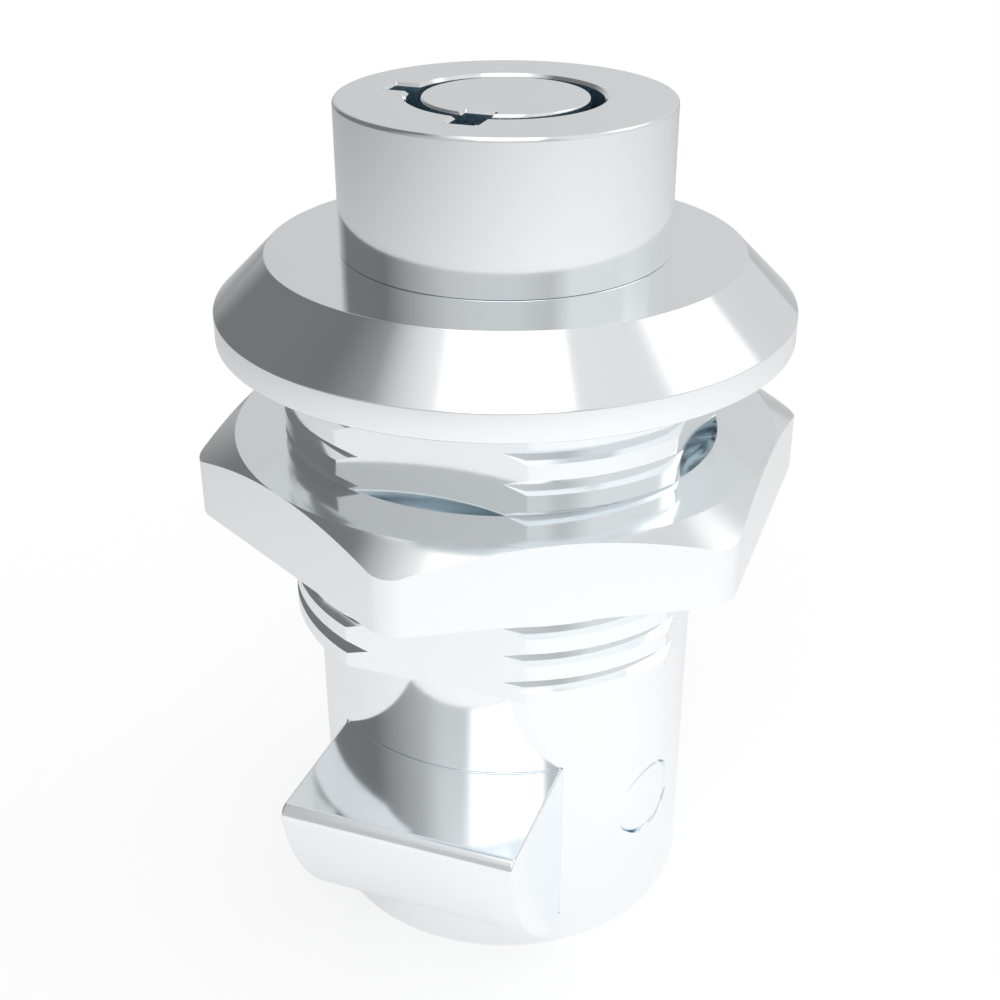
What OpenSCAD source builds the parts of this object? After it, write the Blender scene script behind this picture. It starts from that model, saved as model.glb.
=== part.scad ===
// Push-to-close latch with a turning knob and a round-key lock in the knob.
// The origin is on the axis, in the plane of the bezel's underside, which is the
// outer face of the panel. +Z points out of the panel through the knob, and the
// latch bolt points along -Y.

/* [Bezel] */
// Diameter of the bezel's rim
bezel_d = 28; // [26:0.5:34]
// Diameter of the flat top of the bezel
bezel_flat_d = 22.9; // [20:0.1:25]
// Height of the bezel above the panel
bezel_h = 3.9; // [3:0.1:6]
// Height of the bezel's upright rim
bezel_rim_h = 1.35; // [0.8:0.05:2]

/* [Barrel] */
// Outside diameter of the thread
thread_d = 22; // [22:0.5:24]
// Distance across the flats that are milled on the thread
thread_flat_af = 20; // [19.8:0.1:21]
// Length of the thread below the panel face
thread_len = 15; // [14:0.5:17]
// Diameter of the plain barrel below the thread
barrel_d = 19.7; // [19.4:0.1:19.8]
// Thickness of the barrel's floor under the bolt
floor_t = 1.85; // [1:0.05:4]
// Diameter of the bore that carries the knob's shank and the spindle
bore_d = 14.4; // [14.2:0.1:14.8]
// Wall of the barrel around the bolt guide
guide_wall = 1.2; // [1:0.1:1.5]

/* [Mounting nut] */
// Distance across the nut's flats
nut_af = 27; // [26:0.5:32]
// Thickness of the nut
nut_t = 3.9; // [3:0.1:5]
// Space between the bezel and the nut, where the panel goes
nut_gap = 5.1; // [4.8:0.1:5.6]
// Radius of the nut's upright corners
nut_corner_r = 1.6; // [0.5:0.1:3]
// Slope of the nut's top chamfer, in degrees
nut_chamfer_deg = 30; // [15:1:40]

/* [Knob] */
// Diameter of the knob
knob_d = 15.8; // [15.4:0.1:18]
// Height of the knob above the bezel
knob_h = 7; // [6.6:0.1:9]
// Size of the small bevel at the knob's top edge
knob_edge = 0.2; // [0.1:0.05:0.5]
// Thickness of the knob's front wall
knob_face_t = 1.3; // [1:0.1:1.6]
// Angle that the knob turns, in degrees
knob_turn = 90; // [60:5:100]

/* [Lock] */
// Outside diameter of the round keyway
keyway_d = 9.1; // [9:0.05:9.3]
// Diameter of the post in the middle of the keyway
post_d = 7.8; // [7.4:0.1:8]
// Depth of the keyway below the knob's face
keyway_depth = 5.4; // [5:0.1:5.8]
// Width of the notches that pass the key's lug
notch_w = 1.4; // [1:0.1:2]
// Reach of the outer notches from the axis
notch_reach = 5.75; // [5.3:0.05:5.8]
// Reach of the post's notch from the axis
post_notch_reach = 3.3; // [3:0.1:3.5]
// Room under the knob's face for the key's lug to turn
lug_room = 1.85; // [1.2:0.05:2.2]
// Number of tumbler pins
tumbler_count = 7; // [5:1:7]
// Diameter of a tumbler pin
tumbler_d = 1.1; // [0.8:0.05:1.2]
// Distance of the tumbler pins from the axis
tumbler_circle_r = 4.15; // [4:0.05:4.25]
// Thickness of the turning drum
drum_t = 2.9; // [2.5:0.1:3.2]
// Outside diameter of the lock sleeve
sleeve_d = 11.8; // [11.6:0.1:12]
// Bore of the lock sleeve around the drum
drum_bore_d = 10; // [9.9:0.05:10.2]
// Thickness of the tumbler block
block_t = 5.5; // [5.2:0.1:5.8]
// Diameter of the plug's upper tail
tail_d = 3.6; // [3.2:0.1:4]
// Diameter of the plug's lower tail
tail_tip_d = 2.6; // [2.4:0.1:2.8]
// Size of the lower tail across its flat
tail_tip_flat = 2.3; // [2.1:0.1:2.4]
// Bevel around the keyway's edges
keyway_bevel = 0.15; // [0.05:0.05:0.25]
// Thickness of the floor under the tumbler springs
tumbler_floor = 0.6; // [0.4:0.1:1]

/* [Clutch] */
// Length of the tumbler block's lower neck
neck_len = 3; // [2.8:0.1:3.4]
// Diameter of the neck
neck_d = 11.2; // [11:0.1:11.4]
// Offset of the cam from the axis
cam_offset = 0.7; // [0.5:0.05:0.75]
// Diameter of the cam
cam_d = 4.8; // [4.6:0.1:5]
// Thickness of the cam and of the clutch slider
clutch_t = 1.4; // [1:0.1:1.6]
// Width of the clutch slider
slider_w = 7.4; // [7.2:0.1:7.8]
// Length of the clutch slider's body
slider_len = 6.5; // [6.4:0.1:6.8]
// Width of the clutch slider's tooth
tooth_w = 2.4; // [1.6:0.1:3]
// Reach of the tooth from the axis when the clutch is engaged
tooth_reach = 6.4; // [6.2:0.1:6.6]
// Diameter of the clip under the cam
cam_clip_d = 6; // [5.4:0.1:6.4]
// Thickness of the clip under the cam
cam_clip_t = 0.5; // [0.3:0.05:0.6]

/* [Drive spindle] */
// Thickness of the floor of the spindle's cup
cup_floor_t = 1.4; // [1:0.1:2]
// Diameter of the spindle's stem
stem_d = 6; // [5:0.5:7]
// Thickness of the spindle's flange
flange_t = 1.65; // [1.2:0.05:2]
// Diameter of the drive pin
drive_pin_d = 2.5; // [2:0.1:2.8]
// Diameter of the chamber in which the drive pin moves
chamber_d = 13.8; // [13.7:0.05:14]
// Height of that chamber, from the bolt's guide up to the ledge under the flange
chamber_h = 2.1; // [1.8:0.1:2.6]
// Width of the rib that stops the drive pin at rest
stop_rib_w = 1.4; // [1:0.1:1.8]

/* [Latch bolt] */
// Depth of the top of the bolt's guide below the panel face
bolt_top = 20; // [19.8:0.1:20.4]
// Width of the latch bolt
bolt_w = 11.8; // [10:0.2:12]
// Height of the latch bolt
bolt_h = 9.55; // [8.5:0.05:9.8]
// Reach of the nose's round surface from the axis
bolt_reach = 15.7; // [14.5:0.1:16]
// Travel of the latch bolt
bolt_travel = 5.5; // [4:0.1:5.6]
// Radius of the rounded underside of the nose
nose_r = 13.9; // [12:0.1:16]
// Height of the centre of that radius above the bolt's top face
nose_rise = 2.05; // [0:0.05:3]
// Radius of the nose's upper edge
nose_edge_r = 0.55; // [0.2:0.05:1]
// Distance from the axis to the back of the bolt's full width
bolt_back = 0.4; // [0.2:0.1:0.6]
// Width of the bolt's tail
tail_w = 6; // [5.4:0.2:6.2]
// Height of the bolt's tail
tail_h = 6; // [5.4:0.2:7]
// Length of the bolt's tail
tail_len = 1.9; // [1.4:0.1:2]
// Width of the lug that the drive pin pushes
lug_w = 1.7; // [1.2:0.1:1.8]
// Thickness of that lug
lug_t = 1.25; // [1:0.05:1.3]

/* [Guide pins] */
// Diameter of the pins that hold the bolt guide
guide_pin_d = 4; // [3:0.1:4.4]
// Distance of the pins from the axis, towards the nose
guide_pin_y = 3.4; // [2.6:0.1:3.8]
// Depth of the pins below the top of the bolt's guide
guide_pin_drop = 4.35; // [3.5:0.05:5.5]

/* [Springs] */
// Wire of the knob's return spring
return_wire_d = 0.8; // [0.6:0.05:1]
// Mean diameter of the return spring's coil
return_coil_d = 9.8; // [9.4:0.1:10.4]
// Turns of the return spring
return_turns = 6; // [4:1:6]
// Wire of the bolt spring
bolt_wire_d = 0.4; // [0.35:0.05:0.55]
// Mean diameter of the bolt spring's coil
bolt_coil_d = 3.9; // [3.4:0.1:4]
// Turns of the bolt spring
bolt_spring_turns = 6; // [4:1:7]
// Diameter of the bolt spring's pocket
spring_pocket_d = 4.7; // [4.6:0.1:5]
// Wire of a tumbler spring
tumbler_wire_d = 0.2; // [0.16:0.02:0.22]
// Turns of a tumbler spring
tumbler_turns = 5; // [3:1:6]

/* [Retaining and sealing] */
// Thickness of the clip that holds the knob in
clip_t = 0.7; // [0.5:0.05:0.9]
// Depth of the clip's top below the panel face
clip_depth = 0.2; // [0.1:0.1:0.3]
// Height of the sealing ring's centre above the panel face
seal_h = 1.7; // [1.4:0.1:2]
// Thickness of the sealing ring
seal_t = 0.7; // [0.6:0.05:0.8]
// Diameter of the pin that fixes the lock in the shank
lock_pin_d = 1.4; // [1:0.1:1.4]
// Height of that pin's centre above the end of the shank
lock_pin_h = 1.05; // [0.95:0.05:1.1]
// Depth of that pin in the tumbler block
lock_pin_seat = 0.7; // [0.4:0.1:0.9]
// Depth of the clip's groove in the shank
clip_bite = 0.5; // [0.4:0.05:0.6]
// Depth of the clip's groove in the bore
clip_grip = 0.35; // [0.25:0.05:0.4]
// Width of the clip's gap
clip_gap = 7; // [5:0.5:8]

/* [Fits] */
// Clearance on the radius of turning and sliding fits
run_clear = 0.05; // [0.02:0.01:0.08]
// Clearance on the radius of parts that are pressed together
press_clear = 0.01; // [0.005:0.005:0.02]
// Clearance between faces that turn over each other
face_clear = 0.1; // [0.05:0.01:0.15]
// Clearance between the drive pin and the bolt's lug at rest
yoke_clear = 0.15; // [0.13:0.01:0.2]
// Radial clearance of the tumblers in their holes
tumbler_clear = 0.05; // [0.03:0.01:0.06]

/* [Hidden] */
$fn = 72;

// How far a cut runs past the face that it opens
past = 1;

// Radii that several pieces share
bore_r = bore_d / 2;
shank_r = bore_r - run_clear;
barrel_r = barrel_d / 2;
knob_r = knob_d / 2;
sleeve_r = sleeve_d / 2;
core_bore_r = sleeve_r + run_clear;
keyway_r = keyway_d / 2;
post_r = post_d / 2;
drum_bore_r = drum_bore_d / 2;
neck_r = neck_d / 2;
guide_r = barrel_r - guide_wall;
drive_pin_r = drive_pin_d / 2;

// Levels, from the knob's face downwards
ledge_depth = bolt_top - chamber_h;
guide_pin_depth = bolt_top + guide_pin_drop;
z_knob_top = bezel_h + knob_h;
z_face_back = z_knob_top - knob_face_t;
z_sleeve = z_face_back - lug_room;
z_drum = z_knob_top - keyway_depth;
z_drum_back = z_drum - drum_t;
z_block = z_drum_back - face_clear;
z_shank = z_block - block_t;
z_neck = z_shank - neck_len;
z_cup = z_shank - face_clear;
z_cup_floor = z_neck - 2 * face_clear;
z_stem = z_cup_floor - cup_floor_t;
z_flange_foot = -ledge_depth + run_clear;
z_flange = z_flange_foot + flange_t;
z_bolt_top = -bolt_top - run_clear;
z_bolt_foot = z_bolt_top - bolt_h;
z_floor = z_bolt_foot - run_clear;
z_foot = z_floor - floor_t;
z_clutch = z_shank - face_clear;
z_cam_clip = z_clutch - clutch_t - face_clear;
z_drive_pin_tip = -bolt_top + face_clear;

// The drive pin's circle gives the bolt its travel over the knob's turn
drive_r = bolt_travel / (2 * sin(knob_turn / 2));
drive_rest_deg = -90 - knob_turn / 2;
drive_rest_y = drive_r * sin(drive_rest_deg);
stop_rib_deg = drive_rest_deg + asin((drive_pin_r + stop_rib_w / 2 + run_clear / 2) / drive_r);

// The cam moves the clutch slider in as the key turns a quarter turn
cam_rest_deg = -45;
cam_shift = cam_offset * cos(cam_rest_deg);

// The bolt's lug stands behind the drive pin
lug_x = -drive_r * (1 + sin(knob_turn / 2)) / 2;
lug_front_y = drive_rest_y + drive_pin_r + yoke_clear;
spring_z = z_bolt_top - bolt_h / 2;
spring_wall_y = bolt_back + tail_len + bolt_travel + 2 * face_clear;
pocket_floor_y = bolt_back - 0.9;

// Grooves for the clip and the sealing ring
clip_in_r = shank_r - clip_bite;
clip_out_r = bore_r + clip_grip;
seal_mid_r = shank_r + run_clear / 2 - seal_t / 2;

steel = [0.72, 0.73, 0.75];
chrome = [0.83, 0.84, 0.86];
brass = [0.78, 0.66, 0.38];
zinc = [0.62, 0.64, 0.67];
rubber = [0.12, 0.12, 0.13];

// A bar of square section across the axis, used to mill flats
module across_flats(width, height) {
    translate([-width / 2, -width / 2, 0]) cube([width, width, height]);
}

// Half section of a round post whose top edge is rounded
module rounded_top(r, height, edge_r) {
    square([r - edge_r, height]);
    square([r, height - edge_r]);
    translate([r - edge_r, height - edge_r]) circle(r = edge_r, $fn = 32);
}

// Bevels along the top edges of a notch: its two sides, and its end at end_x
module notch_bevel(start_x, reach, end_x) {
    for (side = [-1, 1]) translate([start_x, side * notch_w / 2, z_knob_top]) rotate([0, 90, 0])
        cylinder(h = reach - start_x, r = keyway_bevel, $fn = 4);
    translate([end_x, -notch_w / 2, z_knob_top]) rotate([-90, 0, 0])
        cylinder(h = notch_w, r = keyway_bevel, $fn = 4);
}

// One of the thin cuts that a key's lug passes through, along +X
module lug_notch(reach, height) {
    translate([0, -notch_w / 2, 0]) cube([reach, notch_w, height]);
}

// Places its children at each tumbler
module at_tumblers() {
    for (i = [0:tumbler_count - 1])
        rotate([0, 0, 360 / tumbler_count * (i + 0.5) - 90])
            translate([tumbler_circle_r, 0, 0]) children();
}

// Points along a coil that rises with its turns
function coil(r, height, turns, steps) =
    [for (i = [0:turns * steps])
        [r * cos(360 * i / steps), r * sin(360 * i / steps), height * i / (turns * steps)]];

// The direction of a path at one of its points
function heading(path, i) =
    let (a = path[max(i - 1, 0)], b = path[min(i + 1, len(path) - 1)]) (b - a) / norm(b - a);

// A ring of points around a path, square to its heading
function ring(p, t, r, sides) =
    let (u = cross(t, [0, 0, 1]), w = u / norm(u), v = cross(w, t))
    [for (k = [0:sides - 1]) p + r * (cos(360 * k / sides) * w + sin(360 * k / sides) * v)];

// Round wire swept along a path that never points straight up
module wire(path, r, sides) {
    n = len(path);
    points = [for (i = [0:n - 1]) each ring(path[i], heading(path, i), r, sides)];
    skin = [for (i = [0:n - 2], k = [0:sides - 1])
        [i * sides + k, i * sides + (k + 1) % sides,
         (i + 1) * sides + (k + 1) % sides, (i + 1) * sides + k]];
    first = [for (k = [sides - 1:-1:0]) k];
    last = [for (k = [0:sides - 1]) (n - 1) * sides + k];
    polyhedron(points, concat([first], skin, [last]), 4);
}

// The space that the bolt and its drive take up inside the barrel
module guide_space() {
    height = past - z_floor - bolt_top;
    translate([0, 0, z_floor - past]) cylinder(h = height, r = guide_r);
    translate([-bolt_w / 2 - run_clear, -bezel_d, z_floor - past])
        cube([bolt_w + 2 * run_clear, bezel_d, height]);
}

// The chamber of the drive pin, without the rib that stops the pin
module drive_chamber() {
    difference() {
        translate([0, 0, -bolt_top - past])
            cylinder(h = chamber_h + 2 * past, d = chamber_d);
        rotate([0, 0, stop_rib_deg])
            translate([drive_r - drive_pin_r, -stop_rib_w / 2, -bolt_top])
                cube([bore_r, stop_rib_w, chamber_h - face_clear]);
    }
}

module housing() {
    color(chrome) difference() {
        union() {
            rotate_extrude()
                polygon([[0, 0], [bezel_d / 2, 0], [bezel_d / 2, bezel_rim_h],
                         [bezel_flat_d / 2, bezel_h], [0, bezel_h]]);
            translate([0, 0, -thread_len]) intersection() {
                cylinder(h = thread_len, d = thread_d);
                across_flats(thread_flat_af, thread_len);
            }
            translate([0, 0, z_floor]) cylinder(h = -z_floor - thread_len, r = barrel_r);
        }
        translate([0, 0, -ledge_depth]) cylinder(h = ledge_depth + bezel_h + past, r = bore_r);
        drive_chamber();
        guide_space();
        guide_pin_holes();
        translate([0, 0, -clip_depth - clip_t - run_clear])
            cylinder(h = clip_t + 2 * run_clear, r = clip_out_r + run_clear);
        spring_leg_slot();
    }
}

// The slot in the bore's wall in which the return spring's upper leg stands
module spring_leg_slot() {
    width = return_wire_d + 2 * run_clear;
    foot = return_head_z - width / 2;
    translate([-width / 2, 0, foot]) cube([width, bore_r + leg_grip + run_clear, bezel_h + past - foot]);
}

// Two holes on one line across the barrel
module guide_pin_holes() {
    translate([0, -guide_pin_y, -guide_pin_depth]) rotate([0, 90, 0])
        cylinder(h = 2 * bezel_d, d = guide_pin_d + 2 * press_clear, center = true);
}

module bolt_guide() {
    color(zinc) difference() {
        union() {
            translate([0, 0, z_foot]) cylinder(h = floor_t, r = barrel_r);
            translate([0, 0, z_floor])
                cylinder(h = -z_floor - bolt_top - run_clear, r = guide_r - press_clear);
        }
        translate([-bolt_w / 2 - run_clear, -bezel_d, z_floor])
            cube([bolt_w + 2 * run_clear, bezel_d + spring_wall_y, bolt_h + past]);
        guide_pin_holes();
    }
}

module guide_pins() {
    color(steel) intersection() {
        for (side = [-1, 1])
            translate([side * (bolt_w / 2 + 2 * face_clear), -guide_pin_y, -guide_pin_depth])
                rotate([0, side * 90, 0]) cylinder(h = barrel_r, d = guide_pin_d);
        translate([0, 0, z_foot]) cylinder(h = -z_foot, r = barrel_r);
    }
}

// A hexagon with round corners, made of a smaller one and what its rounding adds
module rounded_hexagon(af, corner_r) {
    inner_af = af - 2 * corner_r;
    inner_corner = inner_af / sqrt(3);
    rotate([0, 0, 30]) circle(r = inner_corner, $fn = 6);
    for (i = [0:5]) rotate([0, 0, 60 * i]) {
        translate([inner_af / 2 - corner_r, -inner_corner / 2]) square([2 * corner_r, inner_corner]);
        rotate([0, 0, 30]) translate([inner_corner, 0]) circle(r = corner_r);
    }
}

module mounting_nut() {
    chamfer_drop = (nut_af / sqrt(3) - nut_af / 2) * tan(nut_chamfer_deg);
    color(chrome) translate([0, 0, -nut_gap - nut_t]) difference() {
        intersection() {
            linear_extrude(nut_t) rounded_hexagon(nut_af, nut_corner_r);
            rotate_extrude()
                polygon([[0, 0], [nut_af / sqrt(3), 0], [nut_af / sqrt(3), nut_t - chamfer_drop],
                         [nut_af / 2, nut_t], [0, nut_t]]);
        }
        translate([0, 0, -past]) cylinder(h = nut_t + 2 * past, r = thread_d / 2 + run_clear);
    }
}

module knob() {
    color(chrome) difference() {
        rotate_extrude() {
            translate([0, z_shank]) square([shank_r, z_knob_top - z_shank]);
            translate([0, bezel_h + run_clear])
                rounded_top(knob_r, z_knob_top - bezel_h - run_clear, knob_edge);
        }
        translate([0, 0, z_shank - past]) cylinder(h = z_sleeve - z_shank + past, r = core_bore_r);
        translate([0, 0, z_sleeve - past]) cylinder(h = lug_room + past, r = notch_reach + run_clear);
        translate([0, 0, z_face_back - past]) cylinder(h = knob_face_t + 2 * past, r = keyway_r);
        translate([0, 0, z_knob_top - keyway_bevel])
            cylinder(h = keyway_bevel, r1 = keyway_r, r2 = keyway_r + keyway_bevel);
        for (turn = [-90, 180]) rotate([0, 0, turn]) {
            translate([0, 0, z_face_back - past]) lug_notch(notch_reach, knob_face_t + 2 * past);
            notch_bevel(0, notch_reach, notch_reach);
        }
        shank_groove(clip_in_r - run_clear, -clip_depth - clip_t - 2 * run_clear, clip_t + 4 * run_clear);
        shank_groove(seal_mid_r - seal_t / 2, seal_h - seal_t / 2 - run_clear, seal_t + 2 * run_clear);
        lock_pin_hole();
    }
}

// A groove around the shank with its floor at radius r
module shank_groove(r, z, height) {
    translate([0, 0, z]) difference() {
        cylinder(h = height, r = knob_r);
        translate([0, 0, -past]) cylinder(h = height + 2 * past, r = r);
    }
}

// Where the lock pin goes through the shank into the tumbler block
module lock_pin_hole() {
    translate([0, sleeve_r - lock_pin_seat, z_shank + lock_pin_h]) rotate([-90, 0, 0])
        cylinder(h = bore_r, d = lock_pin_d + 2 * press_clear);
}

module lock_pin() {
    color(steel) intersection() {
        translate([0, sleeve_r - lock_pin_seat + press_clear, z_shank + lock_pin_h])
            rotate([-90, 0, 0]) cylinder(h = bore_r, d = lock_pin_d);
        translate([0, 0, z_shank]) cylinder(h = block_t, r = shank_r - run_clear);
    }
}

module knob_clip() {
    color(steel) translate([0, 0, -clip_depth - clip_t]) difference() {
        cylinder(h = clip_t, r = clip_out_r);
        translate([0, 0, -past]) cylinder(h = clip_t + 2 * past, r = clip_in_r + run_clear);
        translate([-clip_gap / 2, 0, -past]) cube([clip_gap, 2 * bore_r, clip_t + 2 * past]);
    }
}

module knob_seal() {
    color(rubber) translate([0, 0, seal_h]) rotate_extrude()
        translate([seal_mid_r + press_clear, 0]) circle(d = seal_t, $fn = 32);
}

module lock_sleeve() {
    color(brass) difference() {
        translate([0, 0, z_block + press_clear])
            cylinder(h = z_sleeve - z_block - 2 * press_clear, r = sleeve_r);
        translate([0, 0, z_block - past]) cylinder(h = z_drum + run_clear - z_block + past, r = drum_bore_r);
        translate([0, 0, z_block]) cylinder(h = z_sleeve - z_block + past, r = keyway_r);
    }
}

module lock_plug() {
    color(chrome) difference() {
        union() {
            translate([0, 0, z_drum]) rotate_extrude() rounded_top(post_r, keyway_depth, keyway_bevel);
            translate([0, 0, z_drum_back]) cylinder(h = drum_t, r = drum_bore_r - run_clear);
            translate([0, 0, z_shank - face_clear])
                cylinder(h = z_drum_back - z_shank + face_clear, d = tail_d);
            translate([0, 0, z_neck + face_clear])
                flatted_tail(0, neck_len);
        }
        rotate([0, 0, -90]) {
            translate([post_notch_reach, -notch_w / 2, z_drum]) cube([post_r, notch_w, keyway_depth + past]);
            notch_bevel(post_notch_reach, post_r, post_notch_reach);
        }
        at_tumblers() translate([0, 0, z_drum_back - past])
            cylinder(h = drum_t + 2 * past, d = tumbler_d + 2 * tumbler_clear, $fn = 32);
    }
}

// The lower tail with its flat, or the hole for it with some clearance
module flatted_tail(clear, height) {
    intersection() {
        cylinder(h = height, r = tail_tip_d / 2 + clear);
        translate([-tail_tip_d, -tail_tip_d, 0])
            cube([2 * tail_tip_d, tail_tip_d / 2 + tail_tip_flat + clear, height]);
    }
}

module key_pins() {
    color(brass) at_tumblers() translate([0, 0, z_drum_back])
        cylinder(h = drum_t, d = tumbler_d, $fn = 32);
}

module tumbler_block() {
    channel = slider_w + 2 * run_clear;
    color(brass) difference() {
        union() {
            translate([0, 0, z_shank]) cylinder(h = block_t, r = sleeve_r);
            translate([0, 0, z_neck]) cylinder(h = neck_len, r = neck_r);
        }
        translate([0, 0, z_neck - past])
            cylinder(h = block_t + neck_len + 2 * past, d = tail_d + 2 * run_clear);
        translate([-sleeve_r - past, -channel / 2, z_neck - past])
            cube([2 * sleeve_r + 2 * past, channel, neck_len + past]);
        at_tumblers() translate([0, 0, z_shank + tumbler_floor])
            cylinder(h = block_t, d = tumbler_d + 2 * tumbler_clear, $fn = 32);
        lock_pin_hole();
    }
}

// The tumbler springs are pressed until their turns touch, and the drivers fill the rest
turn_pitch = 0.95 * tumbler_wire_d;
spring_len = turn_pitch * (tumbler_turns - 1) + tumbler_wire_d;

module driver_pins() {
    foot_z = z_shank + tumbler_floor + spring_len + 2 * press_clear;
    color(steel) at_tumblers() translate([0, 0, foot_z])
        cylinder(h = z_block - foot_z, d = tumbler_d, $fn = 32);
}

module tumbler_springs() {
    color(steel) at_tumblers()
        translate([0, 0, z_shank + tumbler_floor + press_clear + tumbler_wire_d / 2])
            rotate_extrude($fn = 32) for (i = [0:tumbler_turns - 1])
                translate([(tumbler_d - tumbler_wire_d) / 2, i * turn_pitch])
                    circle(d = tumbler_wire_d, $fn = 16);
}

module lock_cam() {
    color(steel) translate([0, 0, z_clutch - clutch_t]) difference() {
        rotate([0, 0, cam_rest_deg]) translate([cam_offset, 0, 0])
            cylinder(h = clutch_t, d = cam_d);
        translate([0, 0, -past]) flatted_tail(press_clear, clutch_t + 2 * past);
    }
}

module cam_clip() {
    mouth = 0.7 * tail_tip_d;
    color(steel) translate([0, 0, z_cam_clip - cam_clip_t]) difference() {
        cylinder(h = cam_clip_t, d = cam_clip_d);
        translate([0, 0, -past]) cylinder(h = cam_clip_t + 2 * past, d = tail_tip_d + 2 * press_clear);
        translate([-mouth / 2, 0, -past]) cube([mouth, cam_clip_d, cam_clip_t + 2 * past]);
    }
}

// A plate with a slot around the cam, and a tooth that drives the spindle
module clutch_slider() {
    window_len = 2 * (cam_d / 2 + cam_offset) + 2 * run_clear;
    color(steel) translate([0, 0, z_clutch - clutch_t]) difference() {
        union() {
            translate([cam_shift - slider_len / 2, -slider_w / 2, 0])
                cube([slider_len, slider_w, clutch_t]);
            translate([0, -tooth_w / 2, 0]) cube([tooth_reach, tooth_w, clutch_t]);
        }
        translate([cam_shift - cam_d / 2 - run_clear, -window_len / 2, -past])
            cube([cam_d + 2 * run_clear, window_len, clutch_t + 2 * past]);
    }
}

module drive_spindle() {
    color(steel) difference() {
        union() {
            translate([0, 0, z_stem]) cylinder(h = z_cup - z_stem, r = shank_r);
            translate([0, 0, z_flange_foot]) cylinder(h = z_stem - z_flange_foot, d = stem_d);
            translate([0, 0, z_flange_foot]) cylinder(h = flange_t, r = shank_r);
        }
        translate([0, 0, z_cup_floor]) cylinder(h = z_cup - z_cup_floor + past, r = neck_r + run_clear);
        translate([0, -tooth_w / 2 - run_clear, z_clutch - clutch_t - face_clear])
            cube([2 * bore_r, tooth_w + 2 * run_clear, z_cup - z_clutch + clutch_t + past]);
        rotate([0, 0, drive_rest_deg]) translate([drive_r, 0, z_flange_foot - past])
            cylinder(h = flange_t + 2 * past, r = drive_pin_r + press_clear);
        translate([0, 0, return_foot_z]) rotate([0, 90, 0])
            cylinder(h = stem_d, d = return_wire_d + 4 * run_clear, $fn = 32);
    }
}

module drive_pin() {
    color(steel) rotate([0, 0, drive_rest_deg]) translate([drive_r, 0, z_drive_pin_tip])
        cylinder(h = z_flange - z_drive_pin_tip, r = drive_pin_r);
}

// Heights of the return spring's two legs, and how deep they sit in the stem and the wall
return_foot_z = z_flange + return_wire_d / 2 + 2 * face_clear;
return_head_z = z_stem - return_wire_d / 2 - 2 * face_clear;
leg_seat = 0.8;
leg_grip = 0.5;

// The coil ends in a leg into the housing's slot, and one into the stem
module return_spring() {
    coil_r = return_coil_d / 2;
    rise = return_head_z - return_foot_z;
    turns = return_turns + 0.25;
    body = [for (i = [0:turns * 24])
        [coil_r * cos(15 * i), coil_r * sin(15 * i), return_foot_z + rise * i / (turns * 24)]];
    foot = [[stem_d / 2 - leg_seat, 0, return_foot_z], [coil_r - return_wire_d, 0, return_foot_z],
            [coil_r - return_wire_d / 4, 0.1, return_foot_z]];
    head = [[-0.1, coil_r + return_wire_d / 3, return_head_z], [0, coil_r + return_wire_d, return_head_z],
            [0, bore_r + leg_grip, return_head_z]];
    inner = [for (i = [1:len(body) - 2]) body[i]];
    color(steel) wire(concat(foot, inner, head), return_wire_d / 2, 8);
}

// Side view of the nose and the body, in Y and Z
module bolt_profile() {
    nose_at = [nose_r - bolt_reach, z_bolt_top + nose_rise];
    edge_drop = nose_rise + nose_edge_r;
    edge_run = sqrt(pow(nose_r - nose_edge_r, 2) - pow(edge_drop, 2));
    edge_at = nose_at - [edge_run, edge_drop];
    difference() {
        intersection() {
            translate([-bolt_reach, z_bolt_foot]) square([bolt_reach + bolt_back, bolt_h]);
            translate(nose_at) circle(r = nose_r, $fn = 180);
        }
        polygon([edge_at, nose_at - [edge_run, edge_drop] * 1.2, [-bolt_reach - past, z_bolt_top + past],
                 [edge_at[0], z_bolt_top + past]]);
    }
    translate(edge_at) circle(r = nose_edge_r, $fn = 48);
}

module latch_bolt() {
    color(chrome) difference() {
        union() {
            rotate([90, 0, 90]) translate([0, 0, -bolt_w / 2])
                linear_extrude(bolt_w) bolt_profile();
            translate([-tail_w / 2, bolt_back - past, spring_z - tail_h / 2])
                cube([tail_w, tail_len + past, tail_h]);
            translate([lug_x - lug_w / 2, lug_front_y, z_bolt_top - past])
                cube([lug_w, lug_t, past - z_bolt_top - ledge_depth - face_clear]);
        }
        translate([0, pocket_floor_y, spring_z]) rotate([-90, 0, 0])
            cylinder(h = tail_len + 2 * past, d = spring_pocket_d);
    }
}

module bolt_spring() {
    start = pocket_floor_y + bolt_wire_d / 2 + press_clear;
    length = spring_wall_y - start - bolt_wire_d / 2 - press_clear;
    color(steel) translate([0, start, spring_z]) rotate([-90, 0, 0])
        wire(coil(bolt_coil_d / 2, length, bolt_spring_turns, 16), bolt_wire_d / 2, 6);
}

housing();
bolt_guide();
guide_pins();
mounting_nut();
knob();
knob_clip();
knob_seal();
lock_sleeve();
lock_plug();
key_pins();
tumbler_block();
driver_pins();
tumbler_springs();
lock_pin();
lock_cam();
cam_clip();
clutch_slider();
drive_spindle();
drive_pin();
return_spring();
latch_bolt();
bolt_spring();
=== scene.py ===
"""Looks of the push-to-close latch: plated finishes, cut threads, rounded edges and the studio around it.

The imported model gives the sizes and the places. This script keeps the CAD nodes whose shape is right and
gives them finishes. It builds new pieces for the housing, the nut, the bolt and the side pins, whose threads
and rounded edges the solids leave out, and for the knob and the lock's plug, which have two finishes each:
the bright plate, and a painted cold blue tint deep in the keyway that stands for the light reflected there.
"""
import math

import bmesh
import bpy
from bpy.props import FloatProperty, IntProperty, PointerProperty, StringProperty
from bpy.types import Operator, Panel, PropertyGroup
from mathutils import Matrix, Vector


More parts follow.
